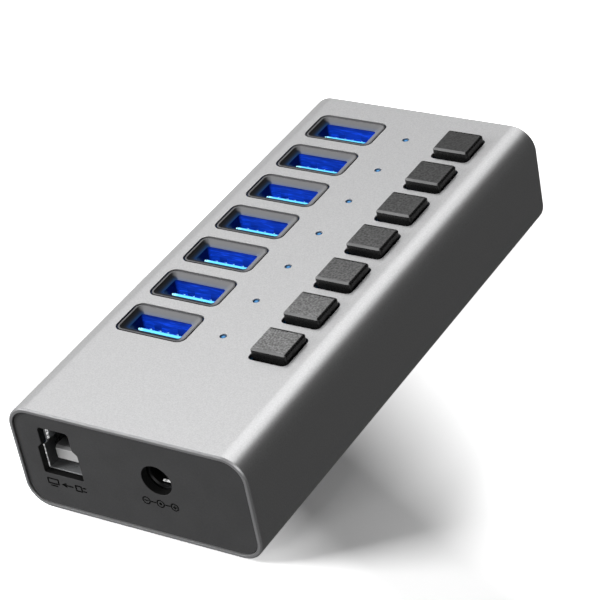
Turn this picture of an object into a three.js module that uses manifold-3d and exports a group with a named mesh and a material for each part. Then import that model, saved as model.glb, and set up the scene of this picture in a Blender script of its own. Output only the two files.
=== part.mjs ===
// A powered USB hub with seven upright sockets on its top and a push switch beside each one.
//
// Millimetres, +Z up. The origin is on the surface that the hub stands on, under the middle of
// its housing. +Y runs along the housing, and the end that takes the computer's lead and the
// power lead faces -Y. Rows are numbered from that end, starting at 1.

import * as THREE from 'three';
import { mergeVertices } from 'three/addons/utils/BufferGeometryUtils.js';
import Module from 'manifold-3d';

const wasm = await Module();
wasm.setup();

// Every neighbouring pair of pieces keeps this gap, where the real ones touch or are glued.
const clearance = 0.3;

// Housing: a length of extruded aluminium tube, cut out along its top.
const housingWidth = 60;
const housingHeight = 26.5;
const housingLength = 129;
const housingCornerRadius = 5.8;
const housingWall = 1;
const housingEndChamfer = 0.2;

// Rubber feet, stuck under the housing.
const footRadius = 4;
const footHeight = 0.7;
const footInset = 9;

// Rows of socket, status light and switch along the top.
const rowCount = 7;
const rowPitch = 13.47;
const rowsCentreY = 11.44;
const socketX = -13.5;
const lightX = 2.87;
const switchX = 16.83;

// End caps: flat plastic plates, set a little way into the housing.
const capThickness = 2;
const capRecess = 0.4;
const capTabWidth = 18;
const capTabLength = 4;
const capTabThickness = 1.2;

// Circuit board, held in rails along the housing's side walls.
const boardTop = 10.2;
const boardThickness = 1.6;
const railDepth = 1.8;
const railThickness = 1.2;
const railEndSetback = 7;

// Upright USB-A sockets: a steel shell with a flared mouth around a blue plastic tongue.
const socketHoleWidth = 18.2;
const socketHoleDepth = 10.3;
const socketHoleRadius = 2;
const mouthHeight = 2.4;
const mouthLip = 0.5;
const mouthSlopeHeight = 0.85;
const mouthRecess = 0.15;
const shellWall = 0.35;
const shellInnerWidth = 13.4;
const shellInnerDepth = 5.5;
const shellInnerRadius = 0.7;
const tongueWidth = 11.1;
const tongueThickness = 1.84;
const tongueOffset = -1.05;
const tongueTipDepth = 2.4;
const insulatorBaseHeight = 3.5;

// Push switches and their caps.
const capHoleWidth = 9.65;
const capHoleDepth = 10.3;
const capHoleRadius = 1.3;
const capHoleOffset = -0.25;
const buttonWidth = 9;
const buttonDepth = 8.5;
const buttonRadius = 0.7;
const buttonChamfer = 0.42;
const buttonHeight = 8;
const buttonProud = 1.9;
const buttonTravel = 1.5;
const switchSide = 8.2;
const switchHeight = 8;
const collarSide = 5.4;
const collarHeight = 1.1;
const stemSide = 3;
const stemLength = 11;

// Status lights: a clear light pipe over each lamp.
const lightHoleRadius = 0.8;
const lightPipeRadius = 0.5;
const lightBaseRadius = 1.3;
const lightBaseHeight = 1;
const lightRecess = 0.2;
const lightPipeSides = 12;

// Socket for the computer's lead, a tall USB-B, and its opening in the front cap.
const hostX = -18.7;
const hostBottom = 10.6;
const hostStep = 17.35;
const hostTop = 22.9;
const hostTopCut = 0.5;
const hostLowerHalfWidth = 5.1;
const hostStepWidth = 1.15;
const hostShellWall = 0.3;
const hostShellLength = 15.5;
const hostShellSetback = 1.7;
const hostTongue = { width: 5.6, height: 3.2, z: 14.75, setback: 2.95 };
const hostShelf = { width: 5.2, height: 1.1, z: 21.15, setback: 6 };
const hostBaseLength = 3.5;

// Socket for the power lead: a barrel jack behind a round hole in the front cap.
const powerX = 6.25;
const powerZ = 16.3;
const powerHoleRadius = 3.7;
const jackWidth = 9;
const jackHeight = 10.8;
const jackLength = 14;
const jackBoreRadius = 3.3;
const jackBoreLength = 10.5;
const pinRadius = 1;
const pinBaseRadius = 1.7;
const pinBaseLength = 1;
const pinTipSetback = 1.8;
const springLeaf = { thickness: 0.3, width: 1.8, length: 6, drop: 2.4, setback: 0.7 };

// Parts soldered to the board: four in a line near the front, and a controller under the rows.
const frontPartsY = -41.5;
const controller = { x: -19, side: 9, height: 0.9 };
const crystal = { x: -6, length: 10, width: 4.2, height: 3.2, radius: 2, chamfer: 0.3 };
const inductor = { x: 7, side: 7, height: 3.6, radius: 1.6, chamfer: 0.4 };
const capacitor = { x: 18, radius: 4, height: 9.5 };
const lowerControllerY = 18;

// Positions that follow from the sizes above.
const housingBottom = footHeight + clearance;
const housingTop = housingBottom + housingHeight;
const housingMiddleZ = (housingBottom + housingTop) / 2;
const innerWidth = housingWidth - 2 * housingWall;
const innerHeight = housingHeight - 2 * housingWall;
const innerRadius = housingCornerRadius - housingWall;
const frontY = -housingLength / 2;
const capOuterY = frontY + capRecess;
const capInnerY = capOuterY + capThickness;
const partsBottom = boardTop + clearance;
const rowY = (row) => rowsCentreY + (row - (rowCount + 1) / 2) * rowPitch;
const rows = Array.from({ length: rowCount }, (_, index) => index + 1);

// Through cuts reach this far past the wall that they cut.
const overcut = 1;
const cornerSegments = 4;
const smallCornerSegments = 3;
const housingCornerSegments = 8;
const roundSegments = 20;

const finishes = {
  aluminium: { color: 0xb9babd, roughness: 0.42, metalness: 0.9 },
  darkPlastic: { color: 0x424245, roughness: 0.62, metalness: 0 },
  blackPlastic: { color: 0x17171a, roughness: 0.45, metalness: 0 },
  greyPlastic: { color: 0xc9c9c6, roughness: 0.5, metalness: 0 },
  bluePlastic: { color: 0x0a35c8, roughness: 0.35, metalness: 0 },
  steel: { color: 0xa8aaad, roughness: 0.3, metalness: 1 },
  brass: { color: 0xd6b36a, roughness: 0.3, metalness: 1 },
  lightPipe: { color: 0x4fa8ff, roughness: 0.15, metalness: 0 },
  board: { color: 0x14563a, roughness: 0.5, metalness: 0 },
  rubber: { color: 0x1b1b1d, roughness: 0.85, metalness: 0 },
};

// ---- solids and geometry ----

function toSolid(geometry) {
  const bare = geometry.clone();
  bare.deleteAttribute('normal');
  bare.deleteAttribute('uv');
  const merged = mergeVertices(bare);
  return new wasm.Manifold(new wasm.Mesh({
    numProp: 3,
    vertProperties: new Float32Array(merged.attributes.position.array),
    triVerts: new Uint32Array(merged.index.array),
  }));
}

function toGeometry(solid) {
  const { vertProperties, triVerts } = solid.getMesh();
  const geometry = new THREE.BufferGeometry();
  geometry.setAttribute('position', new THREE.BufferAttribute(vertProperties, 3));
  geometry.setIndex(new THREE.BufferAttribute(triVerts, 1));
  geometry.computeVertexNormals();
  return geometry;
}

function roundedRectangle(width, height, radius) {
  const x = width / 2 - radius;
  const y = height / 2 - radius;
  const outline = new THREE.Shape();
  outline.absarc(x, y, radius, 0, Math.PI / 2);
  outline.absarc(-x, y, radius, Math.PI / 2, Math.PI);
  outline.absarc(-x, -y, radius, Math.PI, Math.PI * 1.5);
  outline.absarc(x, -y, radius, Math.PI * 1.5, Math.PI * 2);
  return outline;
}

// A prism standing on z = bottom, whose ends are cut back by chamferWidth over chamferHeight.
function prism(outline, bottom, height, options = {}) {
  const { chamferWidth = 0, chamferHeight = chamferWidth, segments = cornerSegments } = options;
  return new THREE.ExtrudeGeometry(outline, {
    depth: height - 2 * chamferHeight,
    curveSegments: segments,
    bevelEnabled: chamferWidth > 0,
    bevelThickness: chamferHeight,
    bevelSize: chamferWidth,
    bevelOffset: -chamferWidth,
    bevelSegments: 1,
  }).translate(0, 0, bottom + chamferHeight);
}

// The same prism laid along Y: the outline's second axis becomes Z.
function prismAlongY(outline, startY, length, options) {
  return prism(outline, 0, length, options).rotateX(Math.PI / 2).translate(0, startY + length, 0);
}

// A box centred on x and y that stands on z = bottom.
function block(width, depth, height, x, y, bottom) {
  return new THREE.BoxGeometry(width, depth, height).translate(x, y, bottom + height / 2);
}

function uprightRod(radius, bottom, height, x = 0, y = 0) {
  return new THREE.CylinderGeometry(radius, radius, height, roundSegments)
    .rotateX(Math.PI / 2)
    .translate(x, y, bottom + height / 2);
}

function rodAlongY(radius, startY, length, x, z) {
  return new THREE.CylinderGeometry(radius, radius, length, roundSegments)
    .translate(x, startY + length / 2, z);
}

function subtractAll(solid, cutters) {
  return cutters.reduce((rest, cutter) => rest.subtract(toSolid(cutter)), solid);
}

function addAll(solid, additions) {
  return additions.reduce((sum, addition) => sum.add(toSolid(addition)), solid);
}

// ---- housing, caps and feet ----

function housing() {
  const outer = roundedRectangle(housingWidth, housingHeight, housingCornerRadius);
  const inner = roundedRectangle(innerWidth, innerHeight, innerRadius);
  const tube = toSolid(prismAlongY(outer, frontY, housingLength, {
    chamferWidth: housingEndChamfer,
    segments: housingCornerSegments,
  }).translate(0, 0, housingMiddleZ));
  const hollow = prismAlongY(inner, frontY - overcut, housingLength + 2 * overcut, {
    segments: housingCornerSegments,
  }).translate(0, 0, housingMiddleZ);
  const railed = addAll(subtractAll(tube, [hollow]), boardRails());
  return toGeometry(subtractAll(railed, rows.flatMap(rowCutouts)));
}

// Two ribs on each side wall, with the board's edge between them.
function boardRails() {
  const length = housingLength - 2 * railEndSetback;
  const rootedDepth = railDepth + housingWall / 2;
  const x = innerWidth / 2 - railDepth + rootedDepth / 2;
  const upper = boardTop + clearance;
  const lower = boardTop - boardThickness - clearance - railThickness;
  return [-x, x].flatMap((side) => [upper, lower].map((bottom) =>
    block(rootedDepth, length, railThickness, side, 0, bottom)));
}

// The three holes through the top wall that one row needs.
function rowCutouts(row) {
  const bottom = housingTop - housingWall - overcut;
  const height = housingWall + 2 * overcut;
  const socketHole = roundedRectangle(socketHoleWidth, socketHoleDepth, socketHoleRadius);
  const capHole = roundedRectangle(capHoleWidth, capHoleDepth, capHoleRadius);
  return [
    prism(socketHole, bottom, height).translate(socketX, rowY(row), 0),
    prism(capHole, bottom, height).translate(switchX, rowY(row) + capHoleOffset, 0),
    uprightRod(lightHoleRadius, bottom, height, lightX, rowY(row)),
  ];
}

// A plate that fills the housing's end at -Y, with four tabs that grip its top and bottom walls.
function capPlate() {
  const outline = roundedRectangle(
    innerWidth - 2 * clearance, innerHeight - 2 * clearance, innerRadius - clearance);
  const plate = toSolid(prismAlongY(outline, capOuterY, capThickness, {
    segments: housingCornerSegments,
  }).translate(0, 0, housingMiddleZ));
  const tabOffset = innerHeight / 2 - clearance - capTabThickness / 2;
  const tabs = [-1, 1].flatMap((side) => [-1, 1].map((level) => block(
    capTabWidth, capTabLength + overcut, capTabThickness,
    side * innerWidth / 4, capInnerY + (capTabLength - overcut) / 2,
    housingMiddleZ + level * tabOffset - capTabThickness / 2)));
  return addAll(plate, tabs);
}

function frontCap() {
  return toGeometry(subtractAll(capPlate(), [
    prismAlongY(hostOutline(0), capOuterY - overcut, capThickness + 2 * overcut),
    rodAlongY(powerHoleRadius, capOuterY - overcut, capThickness + 2 * overcut, powerX, powerZ),
  ]));
}

function foot() {
  return new THREE.CylinderGeometry(footRadius, footRadius - footHeight / 2, footHeight, roundSegments)
    .rotateX(Math.PI / 2)
    .translate(0, 0, footHeight / 2);
}

// ---- USB-A sockets ----

// A steel tube with a flared mouth that fills the hole in the housing.
function socketShell() {
  const mouthTop = housingTop - mouthRecess;
  const mouthWidth = socketHoleWidth - 2 * clearance;
  const mouthDepth = socketHoleDepth - 2 * clearance;
  const mouth = roundedRectangle(mouthWidth, mouthDepth, socketHoleRadius - clearance);
  const tube = roundedRectangle(
    shellInnerWidth + 2 * shellWall, shellInnerDepth + 2 * shellWall, shellInnerRadius + shellWall);
  const bore = roundedRectangle(shellInnerWidth, shellInnerDepth, shellInnerRadius);
  const body = addAll(toSolid(prism(mouth, mouthTop - mouthHeight, mouthHeight)), [
    prism(tube, partsBottom, mouthTop - mouthHeight / 2 - partsBottom),
  ]);
  const slopeWidth = (mouthWidth - shellInnerWidth) / 2 - mouthLip;
  const slopeTop = roundedRectangle(
    mouthWidth - 2 * mouthLip, mouthDepth - 2 * mouthLip, shellInnerRadius + slopeWidth);
  return toGeometry(subtractAll(body, [
    prism(bore, partsBottom - overcut, housingTop - partsBottom + 2 * overcut),
    prism(slopeTop, mouthTop - mouthSlopeHeight, 2 * mouthHeight, {
      chamferWidth: slopeWidth,
      chamferHeight: mouthSlopeHeight,
    }),
  ]));
}

// The plastic base inside the shell and the tongue that stands on it.
function socketInsulator() {
  const base = block(
    shellInnerWidth - 2 * clearance, shellInnerDepth - 2 * clearance, insulatorBaseHeight,
    0, 0, partsBottom);
  const tongueTop = housingTop - tongueTipDepth;
  const tongue = block(
    tongueWidth, tongueThickness, tongueTop - partsBottom, 0, tongueOffset, partsBottom);
  return toGeometry(addAll(toSolid(base), [tongue]));
}

// ---- switches ----

function buttonCap() {
  const top = housingTop + buttonProud;
  const outline = roundedRectangle(buttonWidth, buttonDepth, buttonRadius);
  const cap = toSolid(prism(outline, top - buttonHeight, buttonHeight, {
    chamferWidth: buttonChamfer,
    segments: smallCornerSegments,
  }));
  const holeSide = stemSide + 2 * clearance;
  const holeBottom = top - buttonHeight - overcut;
  const hole = block(holeSide, holeSide, stemTop() + clearance - holeBottom, 0, 0, holeBottom);
  return toGeometry(cap.subtract(toSolid(hole)));
}

function stemTop() {
  return partsBottom + switchHeight + collarHeight - stemLength / 2 + stemLength;
}

function switchStem() {
  return block(stemSide, stemSide, stemLength, 0, 0, stemTop() - stemLength);
}

function switchBody() {
  const collarTop = partsBottom + switchHeight + collarHeight;
  const body = toSolid(block(switchSide, switchSide, switchHeight, 0, 0, partsBottom));
  const collar = block(
    collarSide, collarSide, collarHeight + overcut, 0, 0, collarTop - collarHeight - overcut);
  const wellSide = stemSide + 2 * clearance;
  const wellBottom = stemTop() - stemLength - buttonTravel - clearance;
  const well = block(
    wellSide, wellSide, collarTop + overcut - wellBottom, 0, 0, wellBottom);
  return toGeometry(subtractAll(addAll(body, [collar]), [well]));
}

// ---- status lights ----

function lightPipe() {
  const top = housingTop - lightRecess;
  const dome = lightPipeRadius / 2;
  const profile = [
    new THREE.Vector2(0, partsBottom),
    new THREE.Vector2(lightBaseRadius, partsBottom),
    new THREE.Vector2(lightBaseRadius, partsBottom + lightBaseHeight),
    new THREE.Vector2(lightPipeRadius, partsBottom + lightBaseHeight),
    new THREE.Vector2(lightPipeRadius, top - dome),
    new THREE.Vector2(lightPipeRadius * 0.7, top - dome / 4),
    new THREE.Vector2(0, top),
  ];
  return new THREE.LatheGeometry(profile, lightPipeSides).rotateX(Math.PI / 2);
}

// ---- computer and power sockets ----

// The stepped outline of the computer socket, drawn smaller all round by inset.
function hostOutline(inset) {
  const lower = hostLowerHalfWidth - inset;
  const upper = hostLowerHalfWidth - hostStepWidth - inset;
  const stepZ = hostStep - inset * (Math.SQRT2 - 1);
  const bottom = hostBottom + inset;
  const top = hostTop - inset;
  const half = [
    [lower, bottom], [lower, stepZ], [upper, stepZ + hostStepWidth], [upper, top - hostTopCut],
    [upper - hostTopCut, top],
  ];
  const mirrored = half.map(([x, z]) => [-x, z]).reverse();
  return new THREE.Shape([...half, ...mirrored].map(([x, z]) => new THREE.Vector2(hostX + x, z)));
}

function hostShell() {
  const startY = frontY + hostShellSetback;
  const outer = toSolid(prismAlongY(hostOutline(clearance), startY, hostShellLength));
  return toGeometry(subtractAll(outer, [prismAlongY(
    hostOutline(clearance + hostShellWall), startY - overcut, hostShellLength + 2 * overcut)]));
}

// The plastic base at the back of the shell, with the lower tongue and the shelf above it.
function hostInsulator() {
  const endY = frontY + hostShellSetback + hostShellLength;
  const baseOutline = hostOutline(2 * clearance + hostShellWall);
  const base = toSolid(prismAlongY(baseOutline, endY - hostBaseLength, hostBaseLength));
  const blades = [hostTongue, hostShelf].map(({ width, height, z, setback }) => {
    const startY = frontY + setback;
    return block(width, endY - startY, height, hostX, (startY + endY) / 2, z - height / 2);
  });
  return toGeometry(addAll(base, blades));
}

function powerJack() {
  const startY = capInnerY + clearance;
  const body = toSolid(block(
    jackWidth, jackLength, jackHeight, powerX, startY + jackLength / 2, partsBottom));
  return toGeometry(subtractAll(body, [
    rodAlongY(jackBoreRadius, startY - overcut, jackBoreLength + overcut, powerX, powerZ),
  ]));
}

// The centre pin, with a wider base at the bottom of the bore.
function powerPin() {
  const tipY = capInnerY + clearance + pinTipSetback;
  const baseY = capInnerY + jackBoreLength;
  const profile = [
    new THREE.Vector2(0, tipY),
    new THREE.Vector2(pinRadius * 0.6, tipY),
    new THREE.Vector2(pinRadius, tipY + pinRadius * 0.4),
    new THREE.Vector2(pinRadius, baseY - pinBaseLength),
    new THREE.Vector2(pinBaseRadius, baseY - pinBaseLength),
    new THREE.Vector2(pinBaseRadius, baseY),
    new THREE.Vector2(0, baseY),
  ];
  return new THREE.LatheGeometry(profile, roundSegments / 2).translate(powerX, 0, powerZ);
}

// The leaf that touches the outside of the plug's barrel, lying along the bottom of the bore.
function powerSpring() {
  const { thickness, width, length, drop, setback } = springLeaf;
  const startY = capInnerY + clearance + setback;
  return block(
    width, length, thickness, powerX, startY + length / 2, powerZ - drop - thickness / 2);
}

// ---- circuit board ----

function board() {
  const width = innerWidth - 2 * clearance;
  const length = housingLength - 2 * (capRecess + capThickness + 2 * clearance);
  return block(width, length, boardThickness, 0, 0, boardTop - boardThickness);
}

function controllerChip() {
  return block(controller.side, controller.side, controller.height, 0, 0, 0);
}

function inductorBody() {
  const { side, height, radius, chamfer } = inductor;
  return prism(roundedRectangle(side, side, radius), partsBottom, height, {
    chamferWidth: chamfer,
    segments: smallCornerSegments,
  });
}

function crystalCan() {
  const { length, width, height, radius, chamfer } = crystal;
  return prism(roundedRectangle(length, width, radius), partsBottom, height, {
    chamferWidth: chamfer,
  });
}

// ---- assembly ----

function piece(name, geometry, finish, x = 0, y = 0, z = 0) {
  const mesh = new THREE.Mesh(geometry, new THREE.MeshStandardMaterial(finish));
  mesh.name = name;
  mesh.position.set(x, y, z);
  return mesh;
}

// The shapes that every row repeats are made once.
const rowShapes = {
  shell: socketShell(),
  insulator: socketInsulator(),
  cap: buttonCap(),
  stem: switchStem(),
  body: switchBody(),
  light: lightPipe(),
};

function rowPieces(row) {
  const group = new THREE.Group();
  group.position.y = rowY(row);
  group.add(
    piece(`usb_a_shell_${row}`, rowShapes.shell, finishes.steel, socketX),
    piece(`usb_a_insulator_${row}`, rowShapes.insulator, finishes.bluePlastic, socketX),
    piece(`light_pipe_${row}`, rowShapes.light, finishes.lightPipe, lightX),
    piece(`switch_body_${row}`, rowShapes.body, finishes.blackPlastic, switchX),
    piece(`switch_stem_${row}`, rowShapes.stem, finishes.greyPlastic, switchX),
    piece(`button_cap_${row}`, rowShapes.cap, finishes.blackPlastic, switchX),
  );
  return group;
}

function shellPieces() {
  const rearCap = piece('rear_cap', toGeometry(capPlate()), finishes.darkPlastic);
  rearCap.rotation.z = Math.PI;
  return [
    piece('housing', housing(), finishes.aluminium),
    piece('front_cap', frontCap(), finishes.darkPlastic),
    rearCap,
  ];
}

function feetPieces() {
  const x = housingWidth / 2 - footInset;
  const y = housingLength / 2 - footInset;
  return [
    piece('foot_front_left', foot(), finishes.rubber, -x, -y),
    piece('foot_front_right', foot(), finishes.rubber, x, -y),
    piece('foot_rear_left', foot(), finishes.rubber, -x, y),
    piece('foot_rear_right', foot(), finishes.rubber, x, y),
  ];
}

function endSocketPieces() {
  return [
    piece('usb_b_shell', hostShell(), finishes.steel),
    piece('usb_b_insulator', hostInsulator(), finishes.greyPlastic),
    piece('power_jack_body', powerJack(), finishes.blackPlastic),
    piece('power_jack_pin', powerPin(), finishes.brass),
    piece('power_jack_spring', powerSpring(), finishes.steel),
  ];
}

function boardPieces() {
  const underBoard = boardTop - boardThickness - clearance - controller.height;
  const chip = controllerChip();
  const can = uprightRod(capacitor.radius, partsBottom, capacitor.height);
  const { blackPlastic, steel } = finishes;
  return [
    piece('circuit_board', board(), finishes.board),
    piece('hub_controller_upper', chip, blackPlastic, controller.x, frontPartsY, partsBottom),
    piece('hub_controller_lower', chip, blackPlastic, 0, lowerControllerY, underBoard),
    piece('clock_crystal', crystalCan(), steel, crystal.x, frontPartsY),
    piece('power_inductor', inductorBody(), blackPlastic, inductor.x, frontPartsY),
    piece('power_capacitor', can, steel, capacitor.x, frontPartsY),
  ];
}

const hub = new THREE.Group();
hub.name = 'usb_hub';
hub.add(...shellPieces(), ...feetPieces(), ...rows.map(rowPieces));
hub.add(...endSocketPieces(), ...boardPieces());

export default hub;
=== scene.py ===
# The looks of a powered USB hub: seven upright sockets, each with a status light and a switch.
# Sizes are millimetres, made metres when a mesh is finished. +Y runs along the housing from the
# end with the computer socket, +X from the USB-A sockets to the switches, and +Z is up.
import math

import bmesh
import bpy
from mathutils import Matrix, Vector
from mathutils.geometry import delaunay_2d_cdt


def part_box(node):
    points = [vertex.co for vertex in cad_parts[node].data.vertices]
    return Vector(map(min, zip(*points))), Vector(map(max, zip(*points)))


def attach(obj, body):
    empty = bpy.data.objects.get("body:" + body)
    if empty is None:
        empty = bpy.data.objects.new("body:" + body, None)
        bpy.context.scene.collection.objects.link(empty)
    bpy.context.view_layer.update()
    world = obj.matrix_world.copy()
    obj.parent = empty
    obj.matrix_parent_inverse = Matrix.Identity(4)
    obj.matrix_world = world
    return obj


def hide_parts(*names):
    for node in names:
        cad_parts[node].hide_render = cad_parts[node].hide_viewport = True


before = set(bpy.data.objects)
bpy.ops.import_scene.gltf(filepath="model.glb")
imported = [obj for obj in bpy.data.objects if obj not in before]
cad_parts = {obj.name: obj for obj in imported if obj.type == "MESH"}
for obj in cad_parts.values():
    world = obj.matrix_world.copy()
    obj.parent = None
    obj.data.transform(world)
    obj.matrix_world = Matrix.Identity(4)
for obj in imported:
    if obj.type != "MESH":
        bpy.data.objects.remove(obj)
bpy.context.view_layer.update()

MM = 0.001
HUB = "hub_body"
ROWS = range(1, 1 + sum(name.startswith("usb_a_shell_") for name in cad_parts))

# Camera, as the angles and distance that it looks from.
CAMERA_AZIMUTH = 37.3
CAMERA_ELEVATION = 33.93
CAMERA_ROLL = -11.49
CAMERA_DISTANCE = 549.9
CAMERA_ASIDE = -0.39
CAMERA_ABOVE = 12.55
CAMERA_LENS = 146.24

# Lights. Distances and sizes are metres here, and powers are watts.
LIGHT_TARGET = (0, 0, 0.02)
SOFT_SIZE = 0.3
KEY_DIRECTION = (-0.72, -0.5, 0.5)
KEY_DISTANCE = 0.8
KEY_POWER = 9.0
GLINT_SIZE = 0.08
GLINT_POWER = 0.6
FILL_PLACE = (-0.15, -0.8, 0.25)
FILL_POWER = 2.2
BACK_PLACE = (-0.25, 0.75, 0.3)
BACK_POWER = 3.5
AMBIENT = 0.1

# The room that metal reflects, as fades along an axis: from, to, brightness at each.
ROOM_ABOVE = (0.5, 0.68, 0.08, 2.4)
ROOM_ABOVE_SIDE = (0.28, 0.49, 1.0, 0.0)
ROOM_LEFT = (-0.50, -0.72, 0.0, 0.7)
ROOM_BEHIND = (-0.25, 0.15, 0.0, 1.0)
ROOM_FRONT = (0.1, -0.3, 0.0, 0.34)
ROOM_FRONT_SIDE = (0.2, 0.6, 1.0, 0.3)
ROOM_ASIDE = ((-0.2, -0.5, 0.0, 2.2), (0.1, 0.3, 0.0, 1.0), (0.25, 0.45, 0.0, 1.0))  # y, z, x
ROOM_DARK = 0.1

# The floor's own glow along a turned axis, as (share of the stretch, brightness). Within the
# reach it gives way to plain white. Degrees and metres.
FLOOR_SIZE = 1.6
FLOOR_GLOW_TURN = 28
FLOOR_GLOW_STRETCH = (-0.04, 0.04)
FLOOR_GLOW_REACH = (0.1, 0.16)
FLOOR_GLOW = ((0.0, 0.45), (0.17, 0.09), (0.35, 0.09), (0.74, 1.0))

# Housing and end caps.
HOUSING_WALL = 1.0
HOUSING_RADIUS = 5.8
HOUSING_EDGE = 0.06
CHAMFER_WORN = 0.18
CHAMFER_TILT = (0.3, 0.98)  # how squarely a chamfer faces the end, at least and at most
CAP_EDGE_GAP = 0.06
CAP_THICKNESS = 2.0
MARK_DEPTH = 0.3

# USB-A sockets.
MOUTH_RADIUS = 1.7
MOUTH_LIP = 0.5
MOUTH_SLOPE = 0.85
# Width of the lip's outer edge painted near-black as the shade of the gap round each mouth.
MOUTH_PAINTED_GAP_SHADE = 0.1
SHELL_INNER = (13.4, 5.5)
SHELL_SHEET = 0.35
TONGUE = (11.1, 1.84)
TONGUE_OFFSET = -1.05
TONGUE_BASE = 3.5
LIT_INSET = 0.3
LONG_CONTACTS = (-3.5, -1, 1, 3.5)
SHORT_CONTACTS = (-4, -2, 0, 2, 4)

# Switches and status lights. The caps' tone along the row, as (share, tone), is painted
# shade: paler at the near end, darker towards the far end.
BUTTON_RADIUS = 0.7
BUTTON_CHAMFER = 0.42
BUTTON_DISH = ((BUTTON_CHAMFER * 2, 0), (2.2, 0.012), (3.4, 0.02))  # inset and depth
BUTTON_PAINTED_SHADE = ((0.0, 1.0), (0.17, 0.9), (0.33, 0.58), (0.5, 0.42), (0.67, 0.32), (1.0, 0.2))
STATUS_LIGHT_RADIUS = 0.5
STATUS_LIGHT_HEAD = 0.76
STATUS_LIGHT_DOME = 0.2

# Computer socket: a stepped outline, wider below the step.
HOST_STEP_Z = 17.35
HOST_STEP_WIDTH = 1.15
HOST_TOP_CUT = 0.5
HOST_SHEET = 0.3
HOST_BASE = 3.5
HOST_TONGUE = (5.6, 3.2)
HOST_TONGUE_Z = 14.75
HOST_SHELF_Z = (20.6, 21.7)
GLUE_GAP = 0.3

# Power jack.
POWER_HOLE_RADIUS = 3.7
JACK_BORE_RADIUS = 3.3
JACK_MOUTH_RADIUS = 3.55
JACK_PIN_RADIUS = 1.0

# How finely round stretches are drawn, and what counts as an edge.
CORNER_STEPS = 6
EDGE_STEPS = 3
ROUND_STEPS = 48
SMALLEST_RADIUS = 0.08
SHARP_ANGLE = math.radians(35)


# ---- lines and outlines, in millimetres ----

def node_box(name):
    """The lowest and highest corner of a CAD node's box, and its middle."""
    low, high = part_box(name)
    return low / MM, high / MM, (low + high) / 2 / MM


def corner_arc(before, corner, after, radius, steps):
    """Points of the arc that rounds one corner of a line."""
    back = (before - corner).normalized()
    ahead = (after - corner).normalized()
    half = back.angle(ahead) / 2
    reach = radius / math.tan(half)
    centre = corner + (back + ahead).normalized() * radius / math.sin(half)
    start = corner + back * reach - centre
    turn = math.pi - 2 * half
    if back.x * ahead.y - back.y * ahead.x > 0:
        turn = -turn
    return [centre + Matrix.Rotation(turn * step / steps, 2) @ start for step in range(steps + 1)]


def outline(corners, radius, inset=0.0, least=SMALLEST_RADIUS, steps=CORNER_STEPS):
    """Points round a counterclockwise polygon moved inwards by inset, with its corners rounded."""
    count = len(corners)
    moved = []
    bends = []
    for i, corner in enumerate(corners):
        along_in = (corner - corners[i - 1]).normalized()
        along_out = (corners[(i + 1) % count] - corner).normalized()
        bend = along_in.x * along_out.y - along_in.y * along_out.x
        inwards = Vector((-along_in.y, along_in.x)) + Vector((-along_out.y, along_out.x))
        moved.append(corner + inwards * inset / (1 + along_in.dot(along_out)))
        bends.append(1 if bend > 0 else -1)
    points = []
    for i, corner in enumerate(moved):
        room = min((corner - moved[i - 1]).length, (moved[(i + 1) % count] - corner).length)
        rounding = min(max(radius - bends[i] * inset, least), room * 0.49)
        points += corner_arc(moved[i - 1], corner, moved[(i + 1) % count], rounding, steps)
    return points


def rectangle(width, height, x=0.0, y=0.0):
    halves = ((-1, -1), (1, -1), (1, 1), (-1, 1))
    return [Vector((x + width / 2 * a, y + height / 2 * b)) for a, b in halves]


def circle(radius, x=0.0, y=0.0, steps=ROUND_STEPS):
    turns = (2 * math.pi * step / steps for step in range(steps))
    return [Vector((x + radius * math.cos(turn), y + radius * math.sin(turn))) for turn in turns]


def rounded_line(points, radius, closed=False, steps=EDGE_STEPS):
    """A line of (inset, height) points with its corners rounded; radius may be a list."""
    line = [Vector(point) for point in points]
    radii = radius if isinstance(radius, (list, tuple)) else [radius] * len(line)
    rounded = []
    for i, point in enumerate(line):
        is_end = not closed and i in (0, len(line) - 1)
        if is_end or radii[i] == 0:
            rounded.append(point)
        else:
            after = line[(i + 1) % len(line)]
            rounded += corner_arc(line[i - 1], point, after, radii[i], steps)
    return rounded


def block_profile(low, high, edge):
    """The (inset, height) line of a solid block whose two ends have rounded edges."""
    return rounded_line([(edge, low), (0, low), (0, high), (edge, high)], edge)


def flat_section(half, sheet):
    return (-half, 0), (half, 0), (half, sheet), (-half, sheet)


def upright(points, z):
    return [Vector((point.x, point.y, z)) for point in points]


def along_y(points, y):
    return [Vector((point.x, y, point.y)) for point in points]


# ---- meshes ----

def add_object(name, data):
    made = bpy.data.objects.new(name, data)
    bpy.context.scene.collection.objects.link(made)
    return made


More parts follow.
